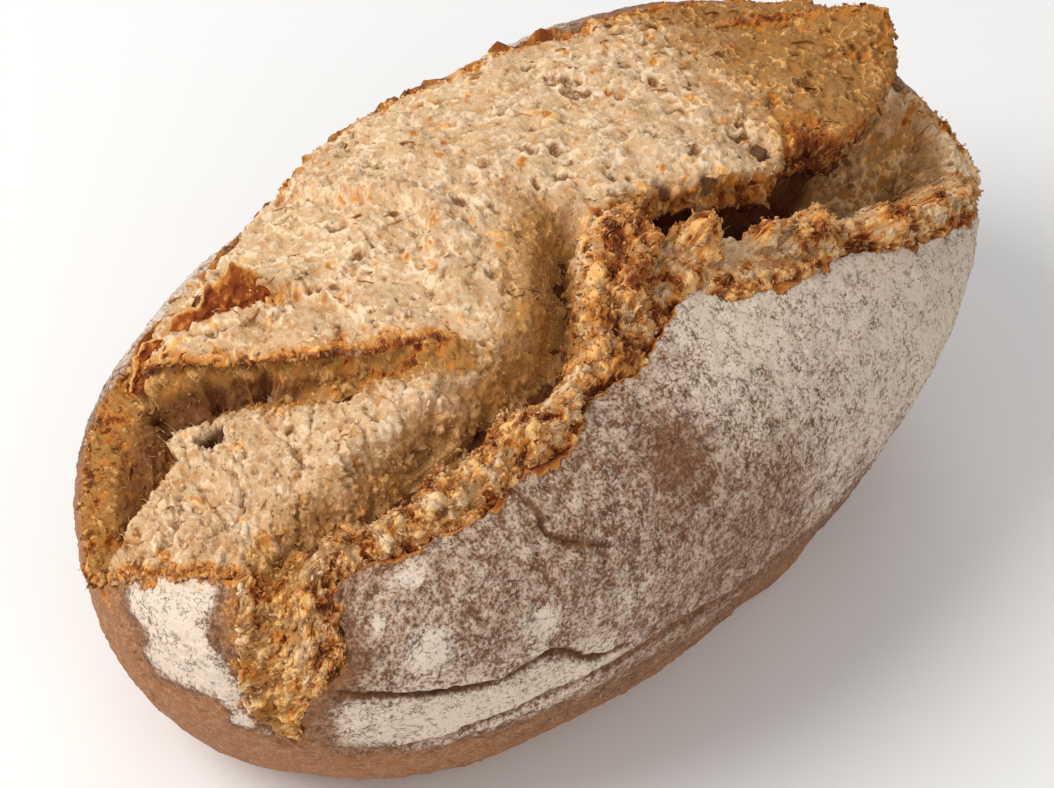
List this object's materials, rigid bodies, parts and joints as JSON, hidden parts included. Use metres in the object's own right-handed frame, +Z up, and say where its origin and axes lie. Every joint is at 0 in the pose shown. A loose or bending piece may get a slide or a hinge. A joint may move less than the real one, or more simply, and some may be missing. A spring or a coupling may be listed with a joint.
{
  "type": "whole wheat bread loaf",
  "caption": "Long oval hearth loaf with a floured crust and a deep jagged burst along its top.",
  "frame": {"origin": "on the flat base, under the middle of the loaf's box", "axes": "+X along the loaf towards its cracked-open far end, +Z up, -Y towards the tall floured crust wall"},
  "size_m": [0.2708, 0.15, 0.1101],
  "materials": {
    "crust": "dry baked crust dusted with flour, with torn crumb along the burst"
  },
  "bodies": {
    "root": {"loaf": "crust"}
  },
  "joints": []
}
